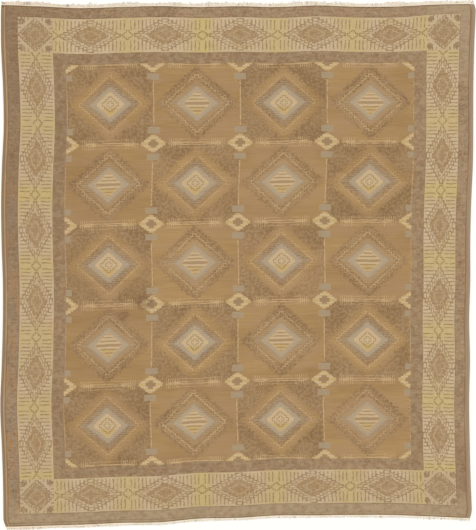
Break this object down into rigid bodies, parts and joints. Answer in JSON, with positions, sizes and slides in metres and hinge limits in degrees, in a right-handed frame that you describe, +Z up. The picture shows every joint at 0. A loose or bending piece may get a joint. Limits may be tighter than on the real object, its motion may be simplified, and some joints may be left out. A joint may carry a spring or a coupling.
{
  "type": "kilim rug",
  "caption": "Room-sized flat-woven kilim lying flat, near square, with corded selvedges, a wide pale border between plain guards, and a short knotted warp fringe at each end",
  "frame": {"origin": "centre of the footprint of cloth and fringes, on the floor under the rug", "axes": "+Z up from the floor, +Y towards the end with the longer fringe, +X towards the right selvedge seen from above"},
  "size_m": [3.0426, 3.3844, 0.004],
  "materials": {
    "kilim_cloth": "worn wool flat weave in ochre, taupe, cream and blue-grey, matt, with fine weft lines",
    "warp_fringe": "undyed cream wool and cotton warp ends, knotted, matt and slightly fuzzy"
  },
  "bodies": {
    "root": {"rug": "kilim_cloth", "fringe_top": "warp_fringe", "fringe_bottom": "warp_fringe"}
  },
  "joints": []
}
